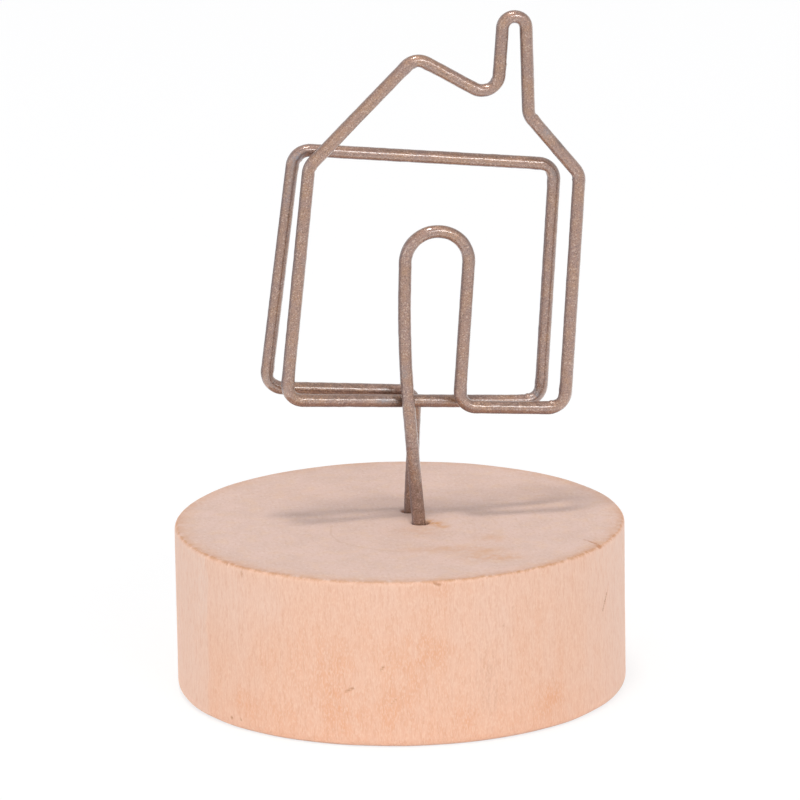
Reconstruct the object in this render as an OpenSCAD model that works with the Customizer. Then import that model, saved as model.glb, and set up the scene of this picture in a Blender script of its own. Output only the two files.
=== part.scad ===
// Paper holder stand: a round wooden base that carries one bent wire. The wire draws the outline of
// a small house in front and a four-sided frame behind it, and a card stands in the gap between them.
// The origin is the middle of the base's underside, +Z points up and the house faces -Y.

/* [Base] */
// Diameter of the wooden base
base_d = 40; // [30:0.5:60]
// Thickness of the wooden base
base_h = 15; // [13:0.5:30]
// Radius of the sanded edge round the top
top_edge_r = 0.5; // [0.2:0.1:3]
// Radius of the sanded edge round the underside
bottom_edge_r = 0.8; // [0.2:0.1:3]

/* [Holes] */
// How much wider than the wire the two drilled holes are
hole_play = 0.5; // [0.3:0.05:0.8]
// Depth of the two drilled holes
hole_depth = 10; // [8:0.5:12]
// How far the front hole lies to the right of the middle of the base
front_hole_right = 1.7; // [0.8:0.1:3]
// How far the front hole lies in front of the middle of the base
front_hole_ahead = 1.2; // [1:0.1:4]
// How far the rear hole lies to the right of the middle of the base
rear_hole_right = 1.4; // [0.5:0.1:2.5]
// How far the rear hole lies behind the middle of the base
rear_hole_behind = 2.9; // [1.4:0.1:4]
// Clear gap that a leg keeps from the rim of its hole where it leans towards it
rim_gap = 0.08; // [0.02:0.01:0.1]

/* [Glue] */
// How far below the bend of the buried leg the glue ends
glue_drop = 0.2; // [0.1:0.1:1]
// Thickness of the glue under the end of the wire
glue_bed = 0.5; // [0.2:0.1:1]

/* [Wire] */
// Diameter of the wire with its coating
wire_d = 1.15; // [0.8:0.05:1.4]
// Bend radius at the corners, at the middle of the wire
corner_r = 1.5; // [0.9:0.05:1.7]
// Bend radius of the legs inside their holes
leg_bend_r = 6; // [4:0.5:10]
// Bend radius at the top of the rear leg
rear_leg_r = 1.4; // [0.75:0.05:1.7]
// Radius of the gentle bow in the front leg
leg_bow_r = 100; // [50:5:130]
// Share of a full half circle by which the tops of the door and the chimney are rounded
arch_share = 0.98; // [0.8:0.01:0.99]
// How much thicker the wire is in its bends, where it was pressed round a tool
bend_swell = 0.012; // [0.01:0.002:0.03]

/* [House] */
// How far the whole house leans to the right
lean_angle = 4.5; // [0:0.5:8]
// How far to the right of the middle of the base the front leg meets the floor line
house_right = 0.78; // [0:0.02:2]
// Height of the floor line above the base, at the front leg
floor_rise = 10.78; // [8:0.02:20]
// Width of the room to the left of the door
left_room_w = 11; // [8:0.1:16]
// Width of the room to the right of the door
right_room_w = 9.5; // [7:0.1:14]
// Height of the walls
wall_h = 21.35; // [18.5:0.05:28]
// How much higher than the floor line the foot of the left wall lies
left_foot_rise = 0.25; // [0:0.05:0.6]
// How much higher than the floor line the foot of the right wall lies
right_foot_rise = 0.1; // [0:0.05:0.6]
// How far the left wall leans in at the eave
left_wall_in = 0.75; // [0:0.05:1.5]
// How far the right wall leans in at the eave
right_wall_in = 0.15; // [0:0.05:1.5]
// Height of the ridge above the eaves
ridge_rise = 10.1; // [7:0.1:13]
// Distance across from the left eave to the ridge
ridge_run = 8.8; // [6:0.1:11]

/* [Door] */
// Width of the door at the floor line
door_foot_w = 4.5; // [3.5:0.1:6]
// Width of the door under its arch
door_w = 5.8; // [4.5:0.1:7]
// Height of the door
door_h = 15.85; // [13:0.05:17.5]
// Height of the middle of the bow in the front leg above the floor line
bow_rise = 5.15; // [4:0.05:6]
// How far to the left the bow in the front leg stands
bow_left = 0.8; // [0.5:0.05:1.2]

/* [Chimney] */
// Distance across from the right eave to the chimney
eave_run = 4.9; // [3:0.1:6.5]
// Rise of the roof from the right eave to the chimney
eave_rise = 5.2; // [3:0.1:7]
// Width of the chimney at its foot
chimney_foot_w = 2.85; // [2.6:0.05:4]
// Width of the chimney at its top
chimney_w = 2; // [1.8:0.05:2.5]
// Height of the chimney above the right side of its foot
chimney_h = 8.75; // [6:0.25:14]
// How much higher the left side of the chimney's foot lies than the right side
chimney_step = 1.15; // [0.8:0.05:2]

/* [Rear frame] */
// Distance from the front leg to the left side of the rear frame
rear_left_w = 12.5; // [9:0.1:16]
// Distance from the front leg to the right side of the rear frame
rear_right_w = 12.3; // [9:0.1:16]
// Height of the rear frame
rear_h = 21.85; // [18:0.05:28]
// How much higher the left half of the rear frame lies than the right half
rear_left_rise = 0.7; // [0:0.05:1.2]
// How far the left side of the rear frame leans in
rear_left_in = 1.1; // [0:0.05:2]
// How far the right side of the rear frame leans in
rear_right_in = 0.4; // [0:0.05:2]
// How far to the right of the front leg the rear leg comes down
rear_leg_right = 0.95; // [0.5:0.05:1.5]

/* [Card gap] */
// Clear gap on each side of the wire where it crosses between the two legs
cross_gap = 0.12; // [0.05:0.01:0.5]
// Clear gap between the front outline and the top of the rear frame, which grips the card
grip_gap = 0.4; // [0.2:0.05:0.8]

/* [Hidden] */
$fn = 96;

// Overrun of a drilled hole above the face that it starts from
overrun = 0.5;
// How far a straight stretch of wire reaches into the bends at its ends
lap = 0.05;
// Steps along the arc of each bend in a preview, however short the arc is
arc_steps = 12;
// The least turn in degrees that counts as a bend
least_turn = 0.01;

hole_d = wire_d + hole_play;
floor_z = base_h + floor_rise;
// How far a leg may stand from the middle of its hole at the top
lean_out = hole_play / 2 - rim_gap;
// The two frames stand so far apart that the crossing wire clears both legs
frames_apart = (wire_d + cross_gap) * (left_room_w + rear_right_w)
    / min(left_room_w, rear_right_w - rear_leg_right);
front_y = -frames_apart / 2;
rear_y = frames_apart / 2;
grip_y = front_y + wire_d + grip_gap;
rear_top = rear_h + rear_left_rise;

// A point of the leaning house, from its distance across and its height up, both measured from the
// place where the front leg meets the floor line
function leaning(across, up, y) = [
    house_right + across * cos(lean_angle) + up * sin(lean_angle),
    y,
    floor_z + up * cos(lean_angle) - across * sin(lean_angle)
];
function in_front(across, up) = leaning(across, up, front_y);
// The rear frame tips forward towards its top, where it grips the card
function behind(across, up) = leaning(across, up, rear_y + (grip_y - rear_y) * up / rear_top);

// The front outline
bow = in_front(-bow_left, bow_rise);
door_left_top = in_front(door_foot_w - door_w, door_h);
door_right_top = in_front(door_foot_w, door_h);
door_foot = in_front(door_foot_w, 0);
right_foot_x = door_foot_w + right_room_w;
right_foot = in_front(right_foot_x, right_foot_rise);
right_eave_x = right_foot_x - right_wall_in;
right_eave = in_front(right_eave_x, wall_h);
chimney_x = right_eave_x - eave_run;
chimney_z = wall_h + eave_rise;
chimney_right_foot = in_front(chimney_x, chimney_z);
chimney_left_x = chimney_x - chimney_foot_w;
chimney_right_top = in_front(chimney_left_x + chimney_w, chimney_z + chimney_h);
chimney_left_top = in_front(chimney_left_x, chimney_z + chimney_h);
chimney_left_foot = in_front(chimney_left_x, chimney_z + chimney_step);
left_eave_x = left_wall_in - left_room_w;
ridge = in_front(left_eave_x + ridge_run, wall_h + ridge_rise);
left_eave = in_front(left_eave_x, wall_h);
left_foot = in_front(-left_room_w, left_foot_rise);

// The rear frame
rear_right_foot = behind(rear_right_w, 0);
rear_right_top = behind(rear_right_w - rear_right_in, rear_h);
rear_left_top = behind(rear_left_in - rear_left_w, rear_top);
rear_left_foot = behind(-rear_left_w, rear_left_rise);
rear_leg_top = behind(rear_leg_right, rear_left_rise);

// A leg slants from the point above it to the middle of its hole, and stands upright from there down.
// Its bend lies deep enough for the slanted leg to clear the rim of the hole by rim_gap. The bend of a
// leg that hardly slants lies at half the depth of the hole.
front_hole = [front_hole_right, -front_hole_ahead];
rear_hole = [rear_hole_right, rear_hole_behind];
function reach(hole, top) = norm([top.x - hole.x, top.y - hole.y]);
function bend_depth(hole, top) =
    min(hole_depth / 2, lean_out * (top.z - base_h) / max(reach(hole, top) - lean_out, lean_out));
function hole_point(hole, depth) = [hole.x, hole.y, base_h - depth];
front_bend_depth = bend_depth(front_hole, bow);
rear_bend_depth = bend_depth(rear_hole, rear_leg_top);

function unit(v) = v / norm(v);
// How far in degrees the wire turns at b on its way from a to c
function turn(a, b, c) = acos(min(1, unit(b - a) * unit(c - b)));
// Bend radius of an arch whose two corners b and c nearly meet at its top
function arch_r(a, b, c, d) = arch_share * norm(c - b) / (tan(turn(a, b, c) / 2) + tan(turn(b, c, d) / 2));
door_r = arch_r(bow, door_left_top, door_right_top, door_foot);
chimney_r = arch_r(chimney_right_foot, chimney_right_top, chimney_left_top, chimney_left_foot);

// The way of the wire from one hole to the other: each corner with its bend radius
route = [
    [hole_point(front_hole, hole_depth - glue_bed), 0],
    [hole_point(front_hole, front_bend_depth), leg_bend_r],
    [bow, leg_bow_r],
    [door_left_top, door_r],
    [door_right_top, door_r],
    [door_foot, corner_r],
    [right_foot, corner_r],
    [right_eave, corner_r],
    [chimney_right_foot, corner_r],
    [chimney_right_top, chimney_r],
    [chimney_left_top, chimney_r],
    [chimney_left_foot, corner_r],
    [ridge, corner_r],
    [left_eave, corner_r],
    [left_foot, corner_r],
    [rear_right_foot, corner_r],
    [rear_right_top, corner_r],
    [rear_left_top, corner_r],
    [rear_left_foot, corner_r],
    [rear_leg_top, rear_leg_r],
    [hole_point(rear_hole, rear_bend_depth), leg_bend_r],
    [hole_point(rear_hole, hole_depth - glue_bed), 0]
];
last = len(route) - 1;
function point(i) = route[i][0];
function radius(i) = route[i][1];
function way(i) = unit(point(i + 1) - point(i));
function turn_at(i) = turn(point(i - 1), point(i), point(i + 1));
// How much of each straight stretch the bend at corner i takes
function taken(i) = i == 0 || i == last ? 0 : radius(i) * tan(turn_at(i) / 2);

// The straight stretch after corner i, with a lap into the bend at each end
function lap_at(i) = i == 0 || i == last ? 0 : lap;
module stretch(i) {
    start = point(i) + (taken(i) - lap_at(i)) * way(i);
    run = norm(point(i + 1) - point(i)) - taken(i) - taken(i + 1) + lap_at(i) + lap_at(i + 1);
    translate(start)
        rotate([0, acos(way(i).z), atan2(way(i).y, way(i).x)])
            cylinder(h = run, d = wire_d);
}

// The bend at corner i: part of a ring that starts along the wire's way into the corner
module bend(i) {
    along = way(i - 1);
    inward = unit(way(i) - (way(i) * along) * along);
    side = cross(-inward, along);
    middle = point(i) - taken(i) * along + radius(i) * inward;
    multmatrix([
        [-inward.x, along.x, side.x, middle.x],
        [-inward.y, along.y, side.y, middle.y],
        [-inward.z, along.z, side.z, middle.z],
        [0, 0, 0, 1]
    ])
        rotate_extrude(angle = turn_at(i), $fn = arc_steps * 360 / turn_at(i))
            translate([radius(i), 0])
                circle(d = wire_d + bend_swell);
}

// Half of the section through the base, with its two rounded edges
module base_section() {
    base_r = base_d / 2;
    middle_h = base_h / 2;
    square([base_r - bottom_edge_r, middle_h]);
    translate([0, bottom_edge_r])
        square([base_r, base_h - bottom_edge_r - top_edge_r]);
    translate([0, middle_h])
        square([base_r - top_edge_r, base_h - middle_h]);
    translate([base_r - bottom_edge_r, bottom_edge_r])
        circle(bottom_edge_r);
    translate([base_r - top_edge_r, base_h - top_edge_r])
        circle(top_edge_r);
}

module drilled_hole(hole) {
    translate(hole_point(hole, hole_depth))
        cylinder(h = hole_depth + overrun, d = hole_d);
}

// Set glue that fills a hole from its floor to just under the bend of the leg, which ends at that depth
module glue(hole, depth) {
    color("#c9924a")
        translate(hole_point(hole, hole_depth))
            difference() {
                cylinder(h = hole_depth - depth - glue_drop, d = hole_d);
                translate([0, 0, glue_bed])
                    cylinder(h = hole_depth, d = wire_d);
            }
}

module wooden_base() {
    color("#e9c9b2")
        difference() {
            rotate_extrude()
                base_section();
            drilled_hole(front_hole);
            drilled_hole(rear_hole);
        }
}

module house_wire() {
    color("#8f7262")
        union() {
            for (i = [0 : last - 1])
                stretch(i);
            for (i = [1 : last - 1])
                if (turn_at(i) > least_turn)
                    bend(i);
        }
}

module front_glue() {
    glue(front_hole, front_bend_depth + taken(1));
}

module rear_glue() {
    glue(rear_hole, rear_bend_depth + taken(last - 1));
}

wooden_base();
house_wire();
front_glue();
rear_glue();
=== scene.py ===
# A paper holder stand: a round wooden base that carries one wire, bent into the outline of a house.
# All sizes below are in millimetres and all angles in degrees, and the meshes are made in metres.
import bpy
import numpy as np
from mathutils import Matrix, Vector
from mathutils.geometry import delaunay_2d_cdt


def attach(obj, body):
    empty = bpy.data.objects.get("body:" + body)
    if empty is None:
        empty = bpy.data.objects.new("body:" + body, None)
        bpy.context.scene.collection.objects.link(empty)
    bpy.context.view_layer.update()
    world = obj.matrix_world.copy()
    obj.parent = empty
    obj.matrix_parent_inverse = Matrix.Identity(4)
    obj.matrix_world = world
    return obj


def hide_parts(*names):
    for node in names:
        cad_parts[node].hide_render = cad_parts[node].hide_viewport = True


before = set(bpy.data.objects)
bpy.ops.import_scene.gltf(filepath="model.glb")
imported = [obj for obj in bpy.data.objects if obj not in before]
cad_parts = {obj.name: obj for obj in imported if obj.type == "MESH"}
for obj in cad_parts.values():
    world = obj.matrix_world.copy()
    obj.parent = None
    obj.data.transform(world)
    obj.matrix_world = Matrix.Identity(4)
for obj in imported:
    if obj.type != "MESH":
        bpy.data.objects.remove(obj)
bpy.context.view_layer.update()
print("frame loaded:", ", ".join(sorted(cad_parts)))

mm = 0.001
zAxis = np.array([0.0, 0.0, 1.0])


# Shared arithmetic

def unit(v):
    # each row divided by its length
    return v / np.linalg.norm(v, axis=-1, keepdims=True)


def smooth(x, low, high):
    # 0 below low, 1 above high, and 3t^2 - 2t^3 between them
    t = np.clip((x - low) / (high - low), 0, 1)
    return t * t * (3 - 2 * t)


def bell(x, width):
    # exp(-(x / width)^2)
    return np.exp(-(x / width) ** 2)


def waves(u, v, uRange, vRange, count, seed):
    # sum of count cosines cos(a u + b v + c), scaled to about -1..1: a is whole and drawn from uRange, b is
    # drawn from vRange and c is any angle
    draw = np.random.default_rng(seed)
    a = draw.integers(uRange[0], uRange[1] + 1, count)
    b = draw.uniform(vRange[0], vRange[1], count)
    c = draw.uniform(0, 2 * np.pi, count)
    total = np.zeros(np.broadcast(u, v).shape)
    for i in range(count):
        total += np.cos(a[i] * u + b[i] * v + c[i])
    return total / np.sqrt(count)


def uneven(u, v, depth, swing, *waveValues):
    # depth times (1 + swing times those waves), kept between 0 and twice the depth
    return depth * np.clip(1 + swing * waves(u, v, *waveValues), 0, 2)


def gridFaces(rows, columns):
    # quads of a grid that closes round in its columns: corners (r, c), (r+1, c), (r+1, c+1), (r, c+1)
    r = np.arange(rows - 1)[:, None] * columns
    c = np.arange(columns)[None, :]
    following = (c + 1) % columns
    return np.stack([r + c, r + columns + c, r + columns + following, r + following], -1).reshape(-1, 4)


def fan(edge, middle):
    # triangles between a closed ring of points and the point in its middle: (i, middle, i+1)
    return np.column_stack([edge, np.full(len(edge), middle), np.roll(edge, -1)])


def makePiece(name, points, faces, node, values):
    # one mesh object at the origin, its points in metres, with one number per point for each named value
    mesh = bpy.data.meshes.new(name)
    mesh.from_pydata((points * mm).tolist(), [], faces)
    mesh.validate()
    mesh.polygons.foreach_set("use_smooth", np.ones(len(mesh.polygons), bool))
    for key, value in values.items():
        layer = mesh.attributes.new(key, "FLOAT", "POINT")
        layer.data.foreach_set("value", value.astype(np.float32))
    mesh.update()
    piece = bpy.data.objects.new(name, mesh)
    bpy.context.scene.collection.objects.link(piece)
    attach(piece, "root")
    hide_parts(node)
    print(f"{name}: {len(mesh.vertices)} points, {len(mesh.polygons)} faces")
    return piece


# The wooden base

baseSizes = {
    "radius": 20.0,
    "height": 15.0,
    # sanded edges: their radius, the share by which it varies round the base, and the seed of that
    "topEdge": (0.4, 0.132, 3),
    "bottomEdge": (0.8, 0.036, 4),
    "edgeWaves": ((2, 23), (0, 0), 14),
    "endGrainFrom": (0.75, 0.98),   # the slopes of an edge at which end grain begins and is complete
    "rimPlace": 0.94,           # where its darker line runs: the cosine of the slope there, 1 at the top face
    "rimAbove": 0.07,           # half width of the line towards the top face, as a cosine
    "rimBelow": 0.42,           # and towards the side
    "rimInside": 0.3,           # and on the top face, in millimetres
    # places where the line fades: angle, over how many degrees, by what share
    "rimFades": [(-108.0, 22.0, 0.4), (90.0, 75.0, 0.85)],
    "holeRadius": 0.825,
    "holeDepth": 10.0,
    "drillTip": 0.3,            # how much deeper the middle of a hole's floor is
    "holes": [(1.7, -1.2), (1.4, 2.9)],
    "wornRim": (0.07, 0.12),    # depth and width of the wear round a hole
    # torn fibres in a bore: depth, how far down they reach, their waves, and a seed that each hole adds to
    "torn": (0.018, 1.2, (2, 9), (-1, 1), 12, 90),
    # sanding flats on the side, its open grain, and the ripple on the top face: depth, swing, waves
    "flats": (0.035, 0.5, (2, 9), (-0.25, 0.25), 16, 5),
    "grain": (0.009, 0.5, (80, 220), (-0.9, 0.9), 60, 6),
    "ripple": (0.012, 0.4, (1, 4), (-2.2, 2.2), 24, 8),
    "rippleStretch": 0.55,      # along x
    "rippleEnds": (0.5, 1.5),   # how far from the edge the ripple begins and is complete
    "footFade": 0.3,            # height over which the flats and the grain begin
    "markSpread": 1.7,          # how much wider a mark's stain fades out than its dent
    "columns": 680,
    "sideRows": 76,
    "arcRows": 8,
    "underRings": (0.96, 0.8, 0.55, 0.25),  # rings of the underside, as shares of its edge
    "topSpacing": 0.27,
    "topJitter": (0.06, 11),    # how far its points stray, and the seed of that
    "edgeClear": 0.8,           # spacings that they keep from the edge
    "holeClear": 0.35,          # and from a hole
    "holeRings": (0.08, 0.2),   # rings of points round a hole
    "holeColumns": 48,
    "boreRows": 15,
    "boreCrowding": 1.5,        # how much closer they lie near the rim
    # marks on the side: angle and height of both ends, half width, depth
    "sideMarks": [
        (-113.1, 5.02, -111.3, 5.36, 0.12, 0.06),
        (-104.2, 7.10, -103.5, 7.40, 0.11, 0.06),
        (-102.3, 3.77, -100.4, 4.48, 0.08, 0.05),
        (-36.1, 8.99, -33.7, 10.39, 0.09, 0.07),
        (-72.3, 10.5, -72.5, 10.3, 0.13, 0.045),
        (-69.5, 11.9, -69.8, 11.7, 0.13, 0.045),
        (-143.2, 8.85, -143.2, 8.75, 0.10, 0.05),
        (-142.9, 14.5, -142.7, 14.2, 0.20, 0.045),
        (-147.6, 0.90, -147.5, 0.96, 0.13, 0.075),
        (-144.1, 0.99, -144.3, 1.05, 0.12, 0.06),
        (-107.8, 2.58, -107.8, 2.52, 0.10, 0.04),
        (-114.2, 1.93, -114.2, 1.19, 0.08, 0.04),
        (-90.4, 14.8, -89.2, 14.62, 0.13, 0.065),
        (-148.8, 14.9, -148.5, 14.8, 0.11, 0.06),
        (-36.4, 15.0, -37.3, 14.9, 0.16, 0.10),
        (60.0, 6.0, 61.0, 6.8, 0.10, 0.06),
        (118.0, 10.2, 118.3, 9.4, 0.08, 0.04),
        (152.0, 3.6, 153.4, 3.9, 0.10, 0.06),
        (20.0, 5.2, 20.1, 4.2, 0.08, 0.03),
    ],
    "fullMark": 0.07,           # depth at which a mark is fully stained
    # marks on the top face: both ends in x and y, half width, depth
    "topMarks": [
        (16.0, -11.8, 15.4, -10.5, 0.14, 0.14),
        (15.4, -10.5, 14.8, -9.6, 0.11, 0.062),
        (-3.25, 15.0, -1.14, 14.75, 0.22, 0.03),
        (-6.68, 8.39, -5.82, 8.42, 0.20, 0.03),
        (9.44, -9.02, 9.87, -9.42, 0.14, 0.04),
        (-11.25, 13.4, -11.15, 13.25, 0.20, 0.03),
        (-18.7, -4.5, -17.8, -5.7, 0.25, 0.02),
    ],
    # amber stains on the top face: x, y, half widths, strength
    "topStains": [
        (2.55, -0.9, 0.45, 0.5, 0.9),
        (2.95, -1.8, 0.6, 0.8, 1.7),
        (3.5, -2.9, 0.55, 0.6, 1.1),
        (1.1, -2.9, 1.1, 1.1, 0.4),
        (-0.6, -3.4, 1.2, 1.0, 0.25),
        (1.7, -4.6, 1.4, 1.2, 0.45),
        (7.0, -7.6, 1.4, 1.3, 0.65),
        (0.2, -9.9, 2.2, 0.9, 0.4),
        (3.0, -10.3, 2.0, 1.1, 0.65),
        (5.8, -11.4, 1.8, 1.1, 0.7),
        (5.2, -13.5, 2.2, 1.2, 0.65),
        (7.4, -14.0, 1.5, 0.9, 0.6),
        (-8.0, 11.0, 3.0, 2.5, 0.12),
        (13.5, 5.0, 3.0, 5.0, 0.15),
    ],
    "topBand": (0.6, 0.1),      # how far under the top face its colours begin and are complete
    # how much the top face yellows towards its edge, and how far from it that begins and is complete
    "edgeStain": (0.5, 2.2, 0.3),
    "ringCentre": (-0.2, -3.6),
    "ringRadius": 6.4,          # of the growth ring that shows most
    "ringWidth": 1.3,
    # how far left of and in front of the rings' centre it begins to show and shows fully
    "ringShows": ((-2.0, 3.0), (-4.5, -2.0)),
    "ringElsewhere": 0.25,      # how much the other rings show
    # warm patches on the side: angle, height, half widths in millimetres, strength
    "sideBlush": [
        (-92.3, 8.8, 1.6, 1.7, 0.8),
        (-114.5, 3.6, 1.7, 2.2, 0.9),
        (-116.5, 7.4, 1.5, 2.2, 0.6),
        (-98.0, 6.0, 2.6, 3.0, 0.45),
        (-101.9, 3.0, 0.8, 1.2, 0.6),
        (-58.5, 2.9, 1.5, 1.6, 0.9),
        (-142.8, 2.85, 1.0, 1.2, 0.6),
        (-82.7, 2.15, 0.8, 1.2, 0.5),
        (-115.2, 13.6, 1.5, 1.2, 0.4),
        (-89.0, 14.2, 2.6, 0.8, 0.7),
        (-132.0, 1.6, 6.0, 1.7, 0.2),
        (-80.0, 1.4, 8.0, 1.7, 0.12),
        (-100.0, 11.5, 9.0, 2.5, 0.22),
        (-128.0, 9.0, 4.0, 4.0, 0.2),
        (-62.0, 11.0, 4.0, 2.5, 0.2),
        (40.0, 7.0, 3.0, 3.0, 0.6),
        (95.0, 10.0, 3.4, 2.4, 0.6),
        (140.0, 5.0, 2.6, 3.0, 0.5),
    ],
    "lowBlush": 0.1,            # how much warmer the side is at its foot
    # paler patches, in the same form
    "sidePaler": [
        (-134.9, 11.9, 2.0, 2.0, 0.5),
        (-150.0, 11.5, 4.0, 4.0, 0.7),
        (-73.5, 10.8, 1.5, 2.5, 0.5),
        (-71.5, 6.6, 0.8, 3.0, 0.5),
        (-25.0, 7.5, 7.0, 20.0, 1.2),
        (75.0, 7.0, 3.0, 5.0, 0.5),
    ],
    "highPaler": 0.45,          # how much paler the side is at its top
    "palerFrom": 0.4,           # share of the height at which that begins
    # a paler band from top to bottom: its middle and half width in angles, and how soft its two borders are
    "paleBand": (-180.0, 22.8, 0.7, 6.0),
    # how it wanders: sum of high * sin(pace * z + start)
    "bandWander": [(0.5, 0.9, 0.0), (0.3, 2.3, 1.0)],
    # grey streaks, in the same form
    "sideGrey": [
        (-77.0, 6.6, 1.0, 2.2, 0.55),
        (-75.6, 3.9, 0.8, 1.2, 0.4),
        (120.0, 9.0, 1.2, 2.5, 0.5),
    ],
}


def segmentDistance(x, y, ax, ay, bx, by):
    # distance from each point to the nearest point of the segment a-b
    dx, dy = bx - ax, by - ay
    t = np.clip(((x - ax) * dx + (y - ay) * dy) / (dx * dx + dy * dy), 0, 1)
    return np.hypot(x - ax - t * dx, y - ay - t * dy)


def markDepths(x, y, marks, s):
    # for each mark a bell across its segment: the greatest depth in millimetres, and the greatest share of 1
    # of a wider bell, which is less than 1 for a shallow mark
    depth, share = np.zeros(x.shape), np.zeros(x.shape)
    for ax, ay, bx, by, width, deep in marks:
        away = segmentDistance(x, y, ax, ay, bx, by)
        stained = min(1.0, deep / s["fullMark"])
        depth = np.maximum(depth, deep * bell(away, width))
        share = np.maximum(share, stained * bell(away, width * s["markSpread"]))
    return depth, share


def turnFrom(angle, start):
    # how far each angle lies from start, in degrees from -180 to 180
    return (angle - start + 180) % 360 - 180


def blots(x, y, places):
    # sum of bells: each place is x, y, half widths along x and y, and strength
    total = np.zeros(x.shape)
    for px, py, wide, high, strength in places:
        total += strength * np.exp(-((x - px) / wide) ** 2 - ((y - py) / high) ** 2)
    return total


def edgeRadius(theta, edgeWaves, mean, wander, seed):
    # the mean radius of an edge times 1 + a slow wander round the base
    return mean * (1 + wander * waves(theta, 0 * theta, *edgeWaves, seed))


def baseSide(s):
    # the surface (angle, way down): a quarter circle at the top edge, the straight side and a quarter
    # circle at the bottom edge, moved in along its normal by the flats, the grain and the marks
    theta = np.linspace(0, 2 * np.pi, s["columns"], endpoint=False)
    top = edgeRadius(theta, s["edgeWaves"], *s["topEdge"])
    low = edgeRadius(theta, s["edgeWaves"], *s["bottomEdge"])
    bend = np.linspace(0, np.pi / 2, s["arcRows"] + 1)[:, None]
    down = np.linspace(0, 1, s["sideRows"] + 1)[1:-1, None]
    r = np.vstack([
        s["radius"] - top + top * np.sin(bend),
        s["radius"] + 0 * down * top,
        s["radius"] - low + low * np.cos(bend),
    ])
    z = np.vstack([
        s["height"] - top + top * np.cos(bend),
        (s["height"] - top) * (1 - down) + low * down,
        low - low * np.sin(bend),
    ])
    out = np.vstack([np.sin(bend) + 0 * top, 1 + 0 * down * top, np.cos(bend) + 0 * low])
    up = np.vstack([np.cos(bend) + 0 * top, 0 * down * top, -np.sin(bend) + 0 * low])
    around = np.broadcast_to(theta, r.shape)
    perDegree = np.radians(s["radius"])
    arc = np.degrees(around) * perDegree
    arc = np.where(arc > np.pi * s["radius"], arc - 2 * np.pi * s["radius"], arc)
    marks = [(a * perDegree, ah, b * perDegree, bh, w, d) for a, ah, b, bh, w, d in s["sideMarks"]]
    markDeep, markShare = markDepths(arc, z, marks, s)
    sanded = uneven(around, z, *s["flats"]) + uneven(around, z, *s["grain"])
    moved = out * smooth(z, 0, s["footFade"]) * sanded + markDeep
    points = np.stack([
        (r - out * moved) * np.cos(around),
        (r - out * moved) * np.sin(around),
        z - up * moved * (z > s["height"] / 2),
    ], -1)
    rim = bell(up - s["rimPlace"], np.where(up > s["rimPlace"], s["rimAbove"], s["rimBelow"]))
    rim = np.where(z > s["height"] / 2, rim, 0)
    endGrain = smooth(np.abs(up), *s["endGrainFrom"])
    return points, {"endGrain": endGrain, "rim": rim, "mark": markShare, "arc": arc}


def topRelief(x, y, s):
    # depth of the top face: the sum of the marks, a slow ripple and a bell across each hole's worn rim
    depth, share = markDepths(x, y, s["topMarks"], s)
    fromEdge = s["radius"] - np.hypot(x, y)
    depth += uneven(x * s["rippleStretch"], y, *s["ripple"]) * smooth(fromEdge, *s["rippleEnds"])
    deep, wide = s["wornRim"]
    for hx, hy in s["holes"]:
        depth += deep * bell(np.hypot(x - hx, y - hy) - s["holeRadius"], wide)
    return depth, share


def discPoints(s, outer):
    # a grid over the disc whose points stray a little, kept clear of the edge and the holes, and the rings
    # of points round each hole
    jitter, seed = s["topJitter"]
    draw = np.random.default_rng(seed)
    n = int(s["radius"] / s["topSpacing"]) + 1
    across = np.arange(-n, n + 1) * s["topSpacing"]
    x, y = np.meshgrid(across, across)
    x = x + np.where(np.arange(len(across)) % 2, 0.5, 0)[:, None] * s["topSpacing"]
    x, y = x.ravel(), y.ravel()
    x, y = x + draw.uniform(-jitter, jitter, x.shape), y + draw.uniform(-jitter, jitter, y.shape)
    keep = np.hypot(x, y) < outer - s["edgeClear"] * s["topSpacing"]
    rings = []
    for hx, hy in s["holes"]:
        keep &= np.hypot(x - hx, y - hy) > s["holeRadius"] + s["holeClear"]
        for extra in s["holeRings"]:
            rings.append(ring(hx, hy, s["holeRadius"] + extra, s["holeColumns"]))
    return np.vstack([np.column_stack([x[keep], y[keep]])] + rings)


def ring(cx, cy, radius, count):
    # count points on a circle
    a = np.linspace(0, 2 * np.pi, count, endpoint=False)
    return np.column_stack([cx + radius * np.cos(a), cy + radius * np.sin(a)])


def topFace(s, boundary):
    # Delaunay triangles between the boundary ring and the hole rings, in the plane
    columns, around = s["columns"], s["holeColumns"]
    holeRings = [ring(hx, hy, s["holeRadius"], around) for hx, hy in s["holes"]]
    inside = discPoints(s, np.hypot(boundary[:, 0], boundary[:, 1]).min())
    flat = np.vstack([boundary] + holeRings + [inside])
    edges = [(i, (i + 1) % columns) for i in range(columns)]
    for h in range(len(holeRings)):
        start = columns + h * around
        edges += [(start + i, start + (i + 1) % around) for i in range(around)]
    insideOnly, closeness = 1, 1e-7
    found = delaunay_2d_cdt([Vector(p) for p in flat], edges, [], insideOnly, closeness, True)
    made, sources = found[2], found[3]
    triangles = np.array([ids[0] for ids in sources])[np.array(made)]
    owner = np.zeros(len(flat), int)
    for h in range(len(holeRings)):
        owner[columns + h * around:columns + (h + 1) * around] = h + 1
    ringOf = owner[triangles]
    inHole = (ringOf[:, 0] > 0) & (ringOf[:, 0] == ringOf[:, 1]) & (ringOf[:, 1] == ringOf[:, 2])
    return flat, triangles[~inHole]


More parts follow.
